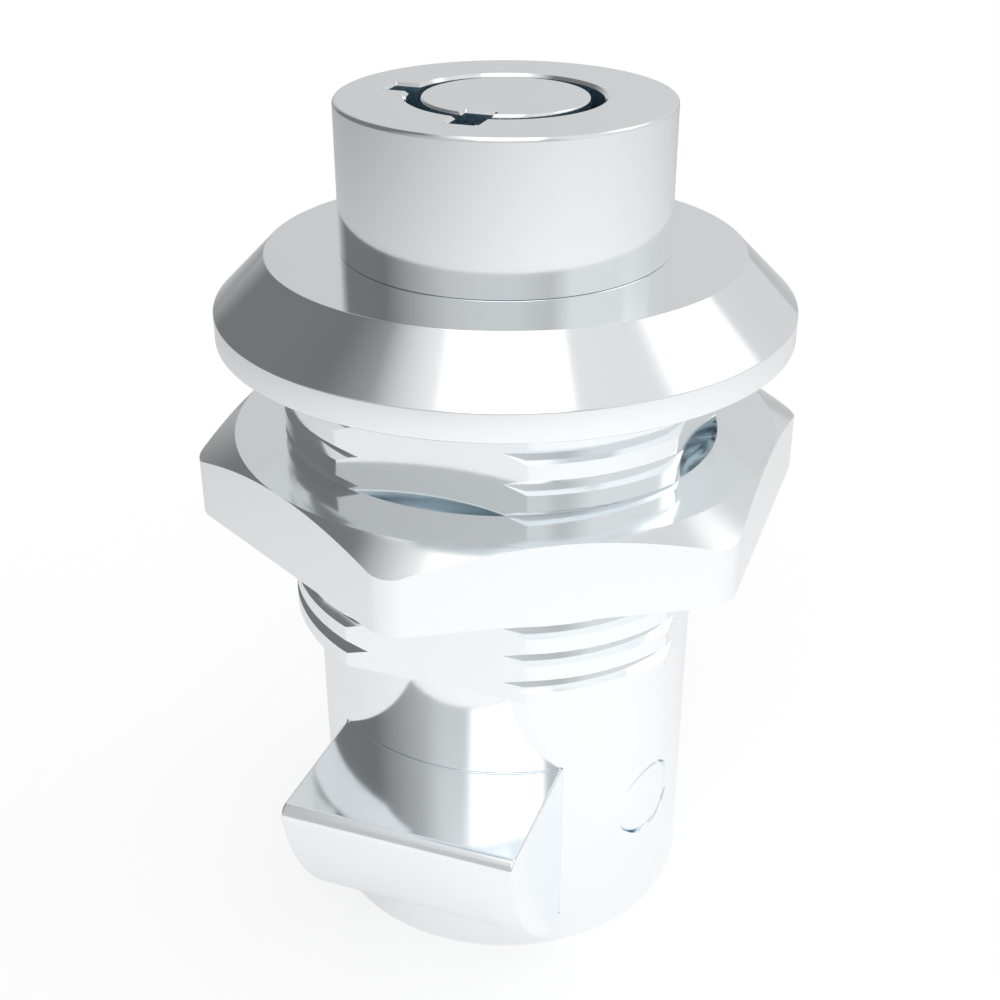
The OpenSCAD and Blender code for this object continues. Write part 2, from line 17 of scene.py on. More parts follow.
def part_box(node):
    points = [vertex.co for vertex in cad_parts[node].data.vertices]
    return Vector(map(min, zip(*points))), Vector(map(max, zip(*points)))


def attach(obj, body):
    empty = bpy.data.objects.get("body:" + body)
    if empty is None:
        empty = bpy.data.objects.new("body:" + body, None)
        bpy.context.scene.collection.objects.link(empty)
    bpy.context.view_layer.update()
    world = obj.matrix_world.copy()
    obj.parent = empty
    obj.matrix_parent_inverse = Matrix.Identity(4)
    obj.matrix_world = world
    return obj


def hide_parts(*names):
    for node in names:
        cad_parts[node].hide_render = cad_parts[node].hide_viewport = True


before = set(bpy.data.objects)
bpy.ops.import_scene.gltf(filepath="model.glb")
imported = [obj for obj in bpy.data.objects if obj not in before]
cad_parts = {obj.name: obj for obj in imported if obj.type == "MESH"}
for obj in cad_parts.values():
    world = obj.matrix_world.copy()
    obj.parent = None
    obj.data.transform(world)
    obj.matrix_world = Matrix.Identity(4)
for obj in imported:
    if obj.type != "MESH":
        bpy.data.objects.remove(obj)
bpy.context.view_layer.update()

bl_info = {
    "name": "Push-to-close latch",
    "version": (1, 0, 0),
    "blender": (4, 5, 0),
    "location": "View3D > Sidebar > Latch",
    "description": "Gives the packed latch its finishes, threads and soft edges, and sets up the studio",
    "category": "Object",
}

# One millimetre in the scene's unit, which is the metre
MM = 0.001

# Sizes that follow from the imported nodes
BARREL_LOW, BARREL_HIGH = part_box("housing")
NUT_LOW, NUT_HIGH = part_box("mounting_nut")
BOLT_LOW, BOLT_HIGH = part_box("latch_bolt")
GUIDE_LOW, GUIDE_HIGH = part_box("bolt_guide")
PIN_LOW, PIN_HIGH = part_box("guide_pins")
KNOB_LOW, KNOB_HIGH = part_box("knob")
FLOOR_Z = GUIDE_LOW.z
BARREL_R = GUIDE_HIGH.x
PIN_R = (PIN_HIGH.z - PIN_LOW.z) / 2
PIN_Y = (PIN_LOW.y + PIN_HIGH.y) / 2
PIN_Z = (PIN_LOW.z + PIN_HIGH.z) / 2

# Points closer than this are one point
SAME = 0.001 * MM
# A faceted circle's points may lie this far from its radius
FACET_SLACK = 0.02 * MM
# Edges that bend by less than this, in radians, belong to a round surface
MIN_BEND = 0.5
# Steps of a full turn, for the large turned surfaces, the threaded sleeve, the knob's core and the side pins
TURNED_STEPS, SLEEVE_STEPS, CORE_STEPS, PIN_STEPS = 240, 180, 192, 96
# The photograph's grooves fall towards the right, as a left-hand helix does
HAND = -1


class HousingSizes(PropertyGroup):
    """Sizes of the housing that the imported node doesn't give by its box"""

    bezel_flat_r: FloatProperty(
        name="Bezel flat radius", description="Radius of the flat top of the bezel",
        default=11.45 * MM, unit="LENGTH",
    )
    bezel_rim_h: FloatProperty(
        name="Rim height", description="Height of the bezel's upright rim", default=1.35 * MM, unit="LENGTH",
    )
    bezel_edge: FloatProperty(
        name="Bezel edge", description="Radius of the bezel's soft edges", default=0.1 * MM, unit="LENGTH",
    )
    bore_r: FloatProperty(
        name="Bore radius", description="Radius of the bore that carries the knob",
        default=7.2 * MM, unit="LENGTH",
    )
    ledge_z: FloatProperty(
        name="Ledge height", description="Height of the ledge under the spindle",
        default=-17.9 * MM, unit="LENGTH",
    )
    chamber_r: FloatProperty(
        name="Chamber radius", description="Radius of the drive pin's chamber",
        default=6.9 * MM, unit="LENGTH",
    )
    guide_top: FloatProperty(
        name="Guide height", description="Height of the top of the bolt's space",
        default=-20 * MM, unit="LENGTH",
    )
    guide_r: FloatProperty(
        name="Guide radius", description="Radius of the space around the bolt guide",
        default=8.65 * MM, unit="LENGTH",
    )
    bolt_gap: FloatProperty(
        name="Bolt gap", description="Clearance around the bolt", default=0.002 * MM, unit="LENGTH",
    )
    pin_gap: FloatProperty(
        name="Pin gap", description="Room around the pins at their rims", default=0.05 * MM, unit="LENGTH",
    )
    window_edge: FloatProperty(
        name="Window edge", description="Radius of the barrel's edge above the bolt", default=0.1 * MM,
        unit="LENGTH",
    )


class PinSizes(PropertyGroup):
    """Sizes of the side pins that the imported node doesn't give by its box"""

    rim: FloatProperty(
        name="Pin rim", description="Radius of the pins' outer rim", default=0.32 * MM, unit="LENGTH",
    )
    sunk: FloatProperty(
        name="Sunk", description="How far the pins' ends lie under the barrel's surface", default=0.02 * MM,
        unit="LENGTH",
    )
    inner_x: FloatProperty(
        name="Inner end", description="Distance of the inner ends from the axis",
        default=6.1 * MM, unit="LENGTH",
    )


class ThreadSizes(PropertyGroup):
    """Sizes of the thread that is cut on the barrel and in the nut"""

    major_r: FloatProperty(
        name="Major radius", description="Radius of the thread's crests", default=11 * MM, unit="LENGTH",
    )
    root_r: FloatProperty(
        name="Root radius", description="Radius of the bottom of the grooves",
        default=10.58 * MM, unit="LENGTH",
    )
    pitch: FloatProperty(
        name="Pitch", description="Distance from one groove to the next", default=1.5 * MM, unit="LENGTH",
    )
    groove_w: FloatProperty(
        name="Groove width", description="Width of a groove at the crests", default=0.705 * MM, unit="LENGTH",
    )
    length: FloatProperty(
        name="Length", description="Length of the threaded barrel", default=15 * MM, unit="LENGTH",
    )
    flat_reach: FloatProperty(
        name="Flat reach", description="Distance of the milled flats from the axis",
        default=10 * MM, unit="LENGTH",
    )
    front_groove_z: FloatProperty(
        name="Front groove", description="Height of a groove's middle at the front flat's middle",
        default=-5 * MM, unit="LENGTH",
    )
    steps: IntProperty(name="Steps", description="Steps of the helix in one turn", default=72, min=24)


class NutSizes(PropertyGroup):
    """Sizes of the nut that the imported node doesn't give by its box"""

    corner_r: FloatProperty(
        name="Corner radius", description="Radius of the upright corners", default=1.6 * MM, unit="LENGTH",
    )
    chamfer_deg: FloatProperty(
        name="Chamfer slope", description="Slope of the top chamfer in degrees", default=30,
    )
    bore_r: FloatProperty(
        name="Bore radius", description="Radius of the tips of the nut's thread",
        default=10.64 * MM, unit="LENGTH",
    )
    tip_w: FloatProperty(
        name="Tip width", description="Width of the tips of the nut's thread",
        default=0.1 * MM, unit="LENGTH",
    )
    thread_gap: FloatProperty(
        name="Thread gap", description="Room between the nut's thread and the barrel's", default=0.03 * MM,
        unit="LENGTH",
    )
    top_lip: FloatProperty(
        name="Top lip", description="Plain bore above the nut's thread", default=1.2 * MM, unit="LENGTH",
    )
    low_lip: FloatProperty(
        name="Low lip", description="Plain bore under the nut's thread", default=0.4 * MM, unit="LENGTH",
    )
    bore_edge: FloatProperty(
        name="Bore edge", description="Radius of the bore's upper edge", default=0.08 * MM, unit="LENGTH",
    )


class BoltSizes(PropertyGroup):
    """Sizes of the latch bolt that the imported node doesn't give by its box"""

    nose_reach: FloatProperty(
        name="Nose reach", description="Reach of the nose's round surface", default=15.7 * MM, unit="LENGTH",
    )
    nose_r: FloatProperty(
        name="Nose radius", description="Radius of the round underside", default=13.9 * MM, unit="LENGTH",
    )
    nose_rise: FloatProperty(
        name="Nose rise", description="Height of that radius's centre above the top face",
        default=2.05 * MM, unit="LENGTH",
    )
    nose_edge_r: FloatProperty(
        name="Nose edge", description="Radius of the nose's upper edge", default=0.55 * MM, unit="LENGTH",
    )
    side_edge: FloatProperty(
        name="Side edge", description="Radius of the edges of the sides", default=0.12 * MM, unit="LENGTH",
    )
    top_z: FloatProperty(
        name="Top height", description="Height of the bolt's flat top", default=-20.05 * MM, unit="LENGTH",
    )
    join_y: FloatProperty(
        name="Join", description="Where the packed bolt's tail takes over", default=-3 * MM, unit="LENGTH",
    )


class FinishColours(PropertyGroup):
    """sRGB colours of the finishes, as hex values"""

    chrome: StringProperty(name="Chrome", description="Bright chrome plate", default="#F6F9FB")
    nut_plate: StringProperty(name="Nut plate", description="Bright plate of the nut", default="#F6F9FA")
    ground_steel: StringProperty(name="Ground steel", description="Ground dowel steel", default="#C9CCD0")
    spring_steel: StringProperty(name="Spring steel", description="Spring wire", default="#9EA1A6")
    # The cold blue of the inner zinc parts, also painted deep in the keyway as the light reflected there
    inner_steel: StringProperty(
        name="Inner steel", description="Blue-passivated zinc inside", default="#B9D0DC",
    )
    brass: StringProperty(name="Brass", description="Machined brass", default="#D9B765")
    rubber: StringProperty(name="Rubber", description="Nitrile rubber", default="#17171A")


class KnobSizes(PropertyGroup):
    """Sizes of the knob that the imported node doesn't give by its box"""

    top_edge: FloatProperty(
        name="Top edge", description="Radius of the edge of the face", default=0.2 * MM, unit="LENGTH",
    )
    foot_edge: FloatProperty(
        name="Foot edge", description="Chamfer of the edge over the bezel", default=0.03 * MM, unit="LENGTH",
    )
    foot_gap: FloatProperty(
        name="Foot gap", description="Gap between the knob and the bezel", default=0.01 * MM, unit="LENGTH",
    )
    shell: FloatProperty(
        name="Shell", description="Thickness of the knob's turned outer shell",
        default=0.5 * MM, unit="LENGTH",
    )
    keyway_reach: FloatProperty(
        name="Keyway reach", description="Radius within which the knob's walls belong to the keyway",
        default=6.2 * MM, unit="LENGTH",
    )
    # Below this depth the keyway's walls get a painted cold blue tint for the light reflected deep in it
    lit_depth: FloatProperty(
        name="Plated depth", description="How far the bright plate reaches into the keyway",
        default=0.16 * MM,
        unit="LENGTH",
    )


class StudioSettings(PropertyGroup):
    """Camera and light of the studio"""

    camera_x: FloatProperty(name="Camera X", description="Camera's place", default=22.76 * MM, unit="LENGTH")
    camera_y: FloatProperty(name="Camera Y", description="Camera's place", default=-63.74 * MM, unit="LENGTH")
    camera_z: FloatProperty(name="Camera Z", description="Camera's place", default=25.92 * MM, unit="LENGTH")
    camera_down: FloatProperty(
        name="Camera down", description="Slope of the line of sight",
        default=math.radians(27.93), unit="ROTATION",
    )
    camera_round: FloatProperty(
        name="Camera round", description="Turn of the line of sight",
        default=math.radians(19.87), unit="ROTATION",
    )
    lens: FloatProperty(name="Lens", description="Focal length in mm on a 36 mm sensor", default=52.9)
    floor_reach: FloatProperty(
        name="Floor reach", description="Radius of the floor", default=3, unit="LENGTH",
    )
    # Painted light on the paper as the plate mirrors it: a painted glow that is brightest beside the latch
    # and on its front right side, and fades to grey further off
    painted_glow_near: FloatProperty(
        name="Paper near", description="Brightness of the mirrored paper beside the latch", default=1.0,
    )
    painted_glow_far: FloatProperty(
        name="Paper far", description="Brightness of the mirrored paper far from the latch", default=0.49,
    )
    painted_lit_side: FloatProperty(
        name="Paper lean", description="How much brighter its lit side is than its middle", default=0.22,
    )
    painted_glow_fade: FloatProperty(
        name="Paper fade", description="Distance at which near has half turned into far", default=130 * MM,
        unit="LENGTH",
    )
    painted_glow_share: FloatProperty(
        name="Mirrored glow", description="Share of the mirrored paper's light that it gives off",
        default=0.45,
    )
    painted_white_share: FloatProperty(
        name="Mirrored white", description="Share of the mirrored paper's light in its colour", default=0.65,
    )
    seen_glow: FloatProperty(
        name="Seen glow", description="Light that the paper gives off to the camera", default=0.74,
    )
    seen_white: FloatProperty(
        name="Seen white", description="Colour of the paper that the camera sees", default=0.33,
    )


def linear(hex_colour):
    """A linear RGBA colour from an sRGB hex value."""
    parts = [int(hex_colour[i:i + 2], 16) / 255 for i in (1, 3, 5)]
    return [p / 12.92 if p <= 0.04045 else ((p + 0.055) / 1.055) ** 2.4 for p in parts] + [1]


def node(tree, kind, links=None, **settings):
    """Adds a node. links maps an input's name or number to an output or a value. settings are its fields."""
    made = tree.nodes.new(kind)
    for field, value in settings.items():
        setattr(made, field, value)
    for key, source in (links or {}).items():
        if isinstance(source, bpy.types.NodeSocket):
            tree.links.new(source, made.inputs[key])
        else:
            made.inputs[key].default_value = source
    return made


def maths(tree, operation, *terms):
    """The result of a math node. Each term is an output or a number."""
    return node(tree, "ShaderNodeMath", dict(enumerate(terms)), operation=operation).outputs["Value"]


def material(name, base, metallic, roughness, spread, grain_mm, bump_mm, stretch=(1, 1, 1)):
    """A finish whose roughness and relief vary with a fine grain. Sizes are in millimetres."""
    # Nearly all of a noise lies between these two, and a plated surface is never an ideal mirror
    noise_low, noise_high, least_roughness = 0.3, 0.7, 0.02
    made = bpy.data.materials.new(name)
    made.use_nodes = True
    tree = made.node_tree
    tree.nodes.clear()
    place_at = node(tree, "ShaderNodeTexCoord")
    turned = node(tree, "ShaderNodeMapping", {"Vector": place_at.outputs["Object"], "Scale": stretch})
    grain = node(
        tree, "ShaderNodeTexNoise",
        {"Vector": turned.outputs["Vector"], "Scale": 1 / (grain_mm * MM), "Detail": 3.0, "Roughness": 0.6},
    )
    rough = node(
        tree, "ShaderNodeMapRange",
        {"Value": grain.outputs["Fac"], "From Min": noise_low, "From Max": noise_high,
         "To Min": max(roughness - spread, least_roughness), "To Max": roughness + spread},
    )
    relief = node(
        tree, "ShaderNodeBump",
        {"Height": grain.outputs["Fac"], "Distance": bump_mm * MM, "Strength": 0.5},
    )
    shader = node(
        tree, "ShaderNodeBsdfPrincipled",
        {"Base Color": linear(base), "Metallic": metallic, "Roughness": rough.outputs["Result"],
         "Normal": relief.outputs["Normal"]},
    )
    node(tree, "ShaderNodeOutputMaterial", {"Surface": shader.outputs["BSDF"]})
    return made


def chrome_plate(name, base, roughness):
    """Bright chrome over polished zinc: a cool mirror that the polish leaves slightly soft."""
    return material(name, base, 1.0, roughness, spread=0.012, grain_mm=0.5, bump_mm=0.0006)


def make_finishes():
    """Makes every finish once."""
    colours = bpy.context.scene.latch_colours
    # Polished and plated: the reflections of the knob and the bolt are soft only at a distance
    chrome_plate("chrome_plate_polished", colours.chrome, 0.1)
    # The housing's casting is polished as bright as the knob
    chrome_plate("chrome_plate_casting", colours.chrome, 0.1)
    # A turned nut keeps a faint satin under its plate
    chrome_plate("bright_plate_turned_nut", colours.nut_plate, 0.13)
    # Ground dowels are a little darker and duller than plate
    material("ground_steel", colours.ground_steel, 1.0, 0.18, 0.04, 0.2, 0.001, (1, 6, 6))
    # The side pins are ground, then polished and plated with the barrel around them
    chrome_plate("polished_dowel_steel", colours.chrome, 0.1)
    # Drawn wire has fine lines along its length
    material("drawn_spring_wire", colours.spring_steel, 1.0, 0.3, 0.06, 0.15, 0.002)
    # Zinc with a blue passivation looks cold and slightly grainy. Deep in the keyway the same colour is a
    # painted tint for the cold light reflected there
    material("blue_zinc_and_recess_tint", colours.inner_steel, 1.0, 0.3, 0.08, 0.12, 0.003)
    # Turned brass shows its tool marks as fine rings
    material("turned_brass", colours.brass, 1.0, 0.22, 0.05, 0.3, 0.002, (1, 1, 8))
    # Moulded nitrile rubber is matt with a weak sheen
    material("nitrile_rubber", colours.rubber, 0.0, 0.6, 0.08, 0.1, 0.004)


def finish(name):
    """One finish. They are all made at the first call."""
    if name not in bpy.data.materials:
        make_finishes()
    return bpy.data.materials[name]


def dress(cad_node, name):
    """Gives a CAD node a finish in place of its plain colour."""
    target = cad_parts[cad_node]
    target.data.materials.clear()
    target.data.materials.append(finish(name))


def arc(centre, radius, start_deg, end_deg, steps):
    """Points along an arc, both ends included."""
    turn = [math.radians(start_deg + (end_deg - start_deg) * i / steps) for i in range(steps + 1)]
    return [(centre[0] + radius * math.cos(a), centre[1] + radius * math.sin(a)) for a in turn]


def lathe(profile, steps):
    """A closed bmesh turned about Z from a closed outline of (radius, height) points."""
    bm = bmesh.new()
    ring = [bm.verts.new((r, 0, z)) for r, z in profile]
    edges = [bm.edges.new((a, b)) for a, b in zip(ring, ring[1:] + ring[:1])]
    bmesh.ops.spin(
        bm, geom=ring + edges, cent=(0, 0, 0), axis=(0, 0, 1), dvec=(0, 0, 0), angle=math.tau, steps=steps,
        use_merge=True, use_normal_flip=False, use_duplicate=False,
    )
    bmesh.ops.remove_doubles(bm, verts=bm.verts, dist=SAME)
    bmesh.ops.dissolve_degenerate(bm, edges=bm.edges, dist=SAME)
    bmesh.ops.recalc_face_normals(bm, faces=bm.faces)
    return bm


def disc_block(radius, low, high, steps):
    """A closed cylinder on the axis between two heights."""
    bm = bmesh.new()
    bmesh.ops.create_cone(
        bm, cap_ends=True, segments=steps, radius1=radius, radius2=radius, depth=high - low,
        matrix=Matrix.Translation((0, 0, (low + high) / 2)),
    )
    return bm


def box_block(low, high):
    """A closed box between two corners."""
    low, high = Vector(low), Vector(high)
    bm = bmesh.new()
    size = Matrix.Diagonal((high - low).to_4d())
    bmesh.ops.create_cube(bm, size=1, matrix=Matrix.Translation((low + high) / 2) @ size)
    return bm


def helix(section, turns, thread, start_z):
    """A closed ridge with this (radius, height) section, wound down about Z from start_z."""
    bm = bmesh.new()
    ring = [bm.verts.new((0, -r, start_z + z)) for r, z in section]
    face = bm.faces.new(ring)
    bmesh.ops.spin(
        bm, geom=[face], cent=(0, 0, 0), axis=(0, 0, 1), dvec=(0, 0, HAND * thread.pitch / thread.steps),
        angle=math.tau * turns, steps=round(thread.steps * turns),
        use_merge=False, use_normal_flip=False, use_duplicate=False,
    )
    bmesh.ops.recalc_face_normals(bm, faces=bm.faces)
    return bm


def as_object(bm, name):
    """A new object that holds the bmesh."""
    mesh = bpy.data.meshes.new(name)
    bm.to_mesh(mesh)
    bm.free()
    made = bpy.data.objects.new(name, mesh)
    bpy.context.scene.collection.objects.link(made)
    return made


def settle(target):
    """Makes what the object's modifiers do part of its mesh."""
    bpy.context.view_layer.update()
    evaluated = target.evaluated_get(bpy.context.evaluated_depsgraph_get())
    result = bpy.data.meshes.new_from_object(evaluated)
    target.modifiers.clear()
    old = target.data
    target.data = result
    bpy.data.meshes.remove(old)


def combine(target, block, operation):
    """Cuts the block from the target, adds it or keeps what both share."""
    tool = as_object(block, "tool")
    step = target.modifiers.new("combine", "BOOLEAN")
    step.operation = operation
    step.solver = "EXACT"
    step.object = tool
    settle(target)
    shape = tool.data
    bpy.data.objects.remove(tool)
    bpy.data.meshes.remove(shape)


def spent(other):
    """The bmesh of an object that is used up for another."""
    block = bmesh.new()
    block.from_mesh(other.data)
    bpy.data.objects.remove(other)
    return block


def solid_copy(cad_node, name):
    """A closed copy of a CAD node's loose triangles."""
    bm = bmesh.new()
    bm.from_mesh(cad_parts[cad_node].data)
    bmesh.ops.remove_doubles(bm, verts=bm.verts, dist=SAME)
    return as_object(bm, name)


def paint_recess_tint(piece, chosen):
    """Gives the chosen faces, by their middle, a painted cold blue tint that stands for the light reflected
    deep in a recess.
    """
    piece.data.materials.append(finish("blue_zinc_and_recess_tint"))
    for face in piece.data.polygons:
        if chosen(face.center):
            face.material_index = 1


def to_pins(side):
    """What turns a piece along Z into one along X, through the middle of the side pins. side is 1 or -1."""
    return Matrix.Translation((0, PIN_Y, PIN_Z)) @ Matrix.Rotation(side * math.pi / 2, 4, "Y")


def soften(target, radius, chosen):
    """Rounds the edges whose two ends are chosen."""
    bm = bmesh.new()
    bm.from_mesh(target.data)
    bmesh.ops.remove_doubles(bm, verts=bm.verts, dist=SAME)
    edges = [
        e for e in bm.edges
        if all(chosen(v.co) for v in e.verts) and e.calc_face_angle(0) > MIN_BEND
    ]
    if not edges:
        raise RuntimeError(f"no edge of {target.name} was found to soften")
    bmesh.ops.bevel(
        bm, geom=edges, offset=radius, offset_type="OFFSET", segments=3, profile=0.5, affect="EDGES",
        material=-1, clamp_overlap=True,
    )
    bm.to_mesh(target.data)
    bm.free()


def smooth(target, sharp_deg=28):
    """Shades the faces smooth and keeps the edges above this angle sharp."""
    bm = bmesh.new()
    bm.from_mesh(target.data)
    bmesh.ops.remove_doubles(bm, verts=bm.verts, dist=SAME / 2)
    for face in bm.faces:
        face.smooth = True
    for edge in bm.edges:
        edge.smooth = edge.is_manifold and edge.calc_face_angle(0) < math.radians(sharp_deg)
    bm.to_mesh(target.data)
    bm.free()
    # Large faces keep their own direction, so that only the narrow rounded edges between them look round
    even = target.modifiers.new("even", "WEIGHTED_NORMAL")
    even.keep_sharp = True
    settle(target)


def place(piece, finish_name, body, slot, *stands_for):
    """Gives a new piece its finish and body, and hides the CAD nodes that it stands for."""
    piece.data.materials.clear()
    piece.data.materials.append(finish(finish_name))
    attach(piece, body)
    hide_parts(*stands_for)


def housing_outline(sizes):
    """Half section of the housing without its threaded part, as (radius, height) points."""
    rim_r, top = BARREL_HIGH.x, BARREL_HIGH.z
    edge = sizes.bezel_edge
    slope = math.atan2(top - sizes.bezel_rim_h, rim_r - sizes.bezel_flat_r)
    slope_deg = math.degrees(slope)
    top_set = edge * math.tan(slope / 2)
    rim_set = edge * math.tan((math.pi / 2 - slope) / 2)
    rim = arc((rim_r - edge, sizes.bezel_rim_h - rim_set), edge, 0, 90 - slope_deg, 4)
    flat = arc((sizes.bezel_flat_r - top_set, top - edge), edge, 90 - slope_deg, 90, 4)
    low_edge = arc((rim_r - edge, edge), edge, -90, 0, 4)
    foot = BARREL_LOW.z
    return [
        (sizes.bore_r, top), (sizes.bore_r, sizes.ledge_z), (sizes.chamber_r, sizes.ledge_z),
        (sizes.chamber_r, sizes.guide_top), (sizes.guide_r, sizes.guide_top), (sizes.guide_r, foot),
        (BARREL_R, foot), (BARREL_R, 0), *low_edge, *rim, *flat,
    ]


def threaded_sleeve(sizes, thread):
    """The threaded barrel with its four milled flats. It reaches up into the bezel, so that the two join."""
    past = 0.6 * MM
    # The sleeve's inside lies within the wall around the housing's bore
    inside = sizes.bore_r + 1.5 * MM
    sleeve = as_object(
        lathe([(inside, past), (inside, -thread.length), (thread.major_r, -thread.length),
               (thread.major_r, past)], SLEEVE_STEPS),
        "threaded_sleeve",
    )
    # The ridge that cuts the groove gets wider out to past the crests
    tip, outer = thread.root_r, thread.major_r + 0.2 * MM
    half = thread.groove_w / 2 * (outer - tip) / (thread.major_r - tip)
    turns = math.ceil((thread.length + 4 * past) / thread.pitch)
    above = math.ceil((2 * past - thread.front_groove_z) / thread.pitch)
    start = thread.front_groove_z + thread.pitch * above
    combine(sleeve, helix([(tip, 0), (outer, half), (outer, -half)], turns, thread, start), "DIFFERENCE")
    far = 2 * thread.major_r
    for turn in range(4):
        block = box_block((thread.flat_reach, -far, -thread.length - past), (far, far, 2 * past))
        bmesh.ops.rotate(block, verts=block.verts, matrix=Matrix.Rotation(turn * math.pi / 2, 3, "Z"))
        combine(sleeve, block, "DIFFERENCE")
    return sleeve


class LATCH_OT_housing(Operator):
    """Builds the housing with its soft bezel edges, its cut thread and its four flats"""

    bl_idname = "latch.housing"
    bl_label = "Housing"

    def execute(self, context):
        sizes, thread = context.scene.latch_housing, context.scene.latch_thread
        far = 2 * BARREL_R
        housing = as_object(lathe(housing_outline(sizes), TURNED_STEPS), "threaded_housing")
        combine(housing, spent(threaded_sleeve(sizes, thread)), "UNION")
        # The bolt's window is open at the foot
        reach = BOLT_HIGH.x + sizes.bolt_gap
        lintel = context.scene.latch_bolt.top_z + sizes.bolt_gap
        combine(housing, box_block((-reach, -far, BARREL_LOW.z - MM), (reach, 0, lintel)), "DIFFERENCE")
        soften(housing, sizes.window_edge, lambda co: (
            abs(co.z - lintel) < SAME and co.y < 0 and abs(co.xy.length - BARREL_R) < FACET_SLACK))
        holes = disc_block(PIN_R + sizes.pin_gap, -far, far, PIN_STEPS)
        bmesh.ops.transform(holes, verts=holes.verts, matrix=to_pins(1))
        combine(housing, holes, "DIFFERENCE")
        smooth(housing)
        place(housing, "chrome_plate_casting", "housing", "chrome_plated_body", "housing")
        return {"FINISHED"}


class LATCH_OT_pins(Operator):
    """Builds the two side pins, whose ends follow the barrel and have a rounded rim"""

    bl_idname = "latch.pins"
    bl_label = "Side pins"

    def execute(self, context):
        sizes = context.scene.latch_pins
        reach, face_r = BARREL_R - sizes.sunk, PIN_R - sizes.rim
        # Rings on the end face let it bend
        rings = 6
        outline = [(0, sizes.inner_x), (PIN_R, sizes.inner_x)]
        outline += arc((face_r, reach - sizes.rim), sizes.rim, 0, 90, 6)
        outline += [(face_r * ring / rings, reach) for ring in range(rings - 1, -1, -1)]
        for side, name in ((-1, "side_pin_left"), (1, "side_pin_right")):
            bm = lathe(outline, PIN_STEPS)
            bmesh.ops.transform(bm, verts=bm.verts, matrix=to_pins(side))
            # The outer end bends round the barrel
            for v in bm.verts:
                if abs(v.co.x) > sizes.inner_x + MM:
                    v.co.x -= side * (BARREL_R - math.sqrt(BARREL_R ** 2 - v.co.y ** 2))
            pin = as_object(bm, name)
            smooth(pin)
            place(pin, "polished_dowel_steel", "housing", "ground_steel", "guide_pins")
        return {"FINISHED"}


class LATCH_OT_nut(Operator):
    """Builds the hexagon nut with its round corners, its top chamfer and its thread"""

    bl_idname = "latch.nut"
    bl_label = "Mounting nut"

    def execute(self, context):
        sizes, thread = context.scene.latch_nut, context.scene.latch_thread
        half_flat, top, low = NUT_HIGH.x, NUT_HIGH.z, NUT_LOW.z
        # The hexagon reaches past the top, and the cutting pieces past both ends
        past = 0.5 * MM
        half_side = math.radians(30)
        corner = half_flat / math.cos(half_side)
        bm = bmesh.new()
        bmesh.ops.create_cone(
            bm, cap_ends=True, segments=6, radius1=corner, radius2=corner, depth=top - low + past,
            matrix=Matrix.Translation((0, 0, (top + low + past) / 2)),
        )
        # One corner points to the front
        front = min(bm.verts, key=lambda v: abs(math.atan2(v.co.y, v.co.x) + math.pi / 2))
        off = math.atan2(front.co.y, front.co.x) + math.pi / 2
        bmesh.ops.rotate(bm, verts=bm.verts, matrix=Matrix.Rotation(-off, 3, "Z"))
        uprights = [e for e in bm.edges if abs(e.verts[0].co.z - e.verts[1].co.z) > past]
        bmesh.ops.bevel(
            bm, geom=uprights, offset=sizes.corner_r * math.tan(half_side), offset_type="OFFSET",
            segments=12, profile=0.5, affect="EDGES", material=-1,
        )
        nut = as_object(bm, "hexagon_nut")
        foot_r = half_flat + (top - low) / math.tan(math.radians(sizes.chamfer_deg))
        cone = [(0, low - past), (foot_r, low - past), (foot_r, low), (half_flat, top), (0, top)]
        combine(nut, lathe(cone, TURNED_STEPS), "INTERSECT")
        combine(nut, disc_block(sizes.bore_r, low - past, top + past, TURNED_STEPS), "DIFFERENCE")
        combine(nut, self.groove(sizes, thread, low + sizes.low_lip, top - sizes.top_lip), "DIFFERENCE")
        soften(nut, sizes.bore_edge, lambda co: (
            abs(co.z - top) < SAME and abs(co.xy.length - sizes.bore_r) < FACET_SLACK))
        smooth(nut)
        place(nut, "bright_plate_turned_nut", "nut", "chrome_plated_nut", "mounting_nut")
        return {"FINISHED"}

    def groove(self, sizes, thread, low, high):
        """What the nut's thread cuts away between two heights: room for the barrel's crests."""
        bore, deep = sizes.bore_r, thread.major_r + sizes.thread_gap
        wide = (thread.pitch - sizes.tip_w) / 2
        narrow = (thread.pitch - thread.groove_w) / 2 + sizes.thread_gap
        # The ridge that cuts it begins inside the bore
        inner = bore - 0.2 * MM
        section = [
            (inner, wide), (bore, wide), (deep, narrow), (deep, -narrow), (bore, -wide), (inner, -wide),
        ]
        crest_z = thread.front_groove_z + thread.pitch / 2
        start = crest_z + thread.pitch * math.ceil((high + 2 * thread.pitch - crest_z) / thread.pitch)
        turns = math.ceil((start - low) / thread.pitch) + 2
        ridge = as_object(helix(section, turns, thread, start), "ridge")
        combine(ridge, disc_block(2 * thread.major_r, low, high, PIN_STEPS), "INTERSECT")
        return spent(ridge)


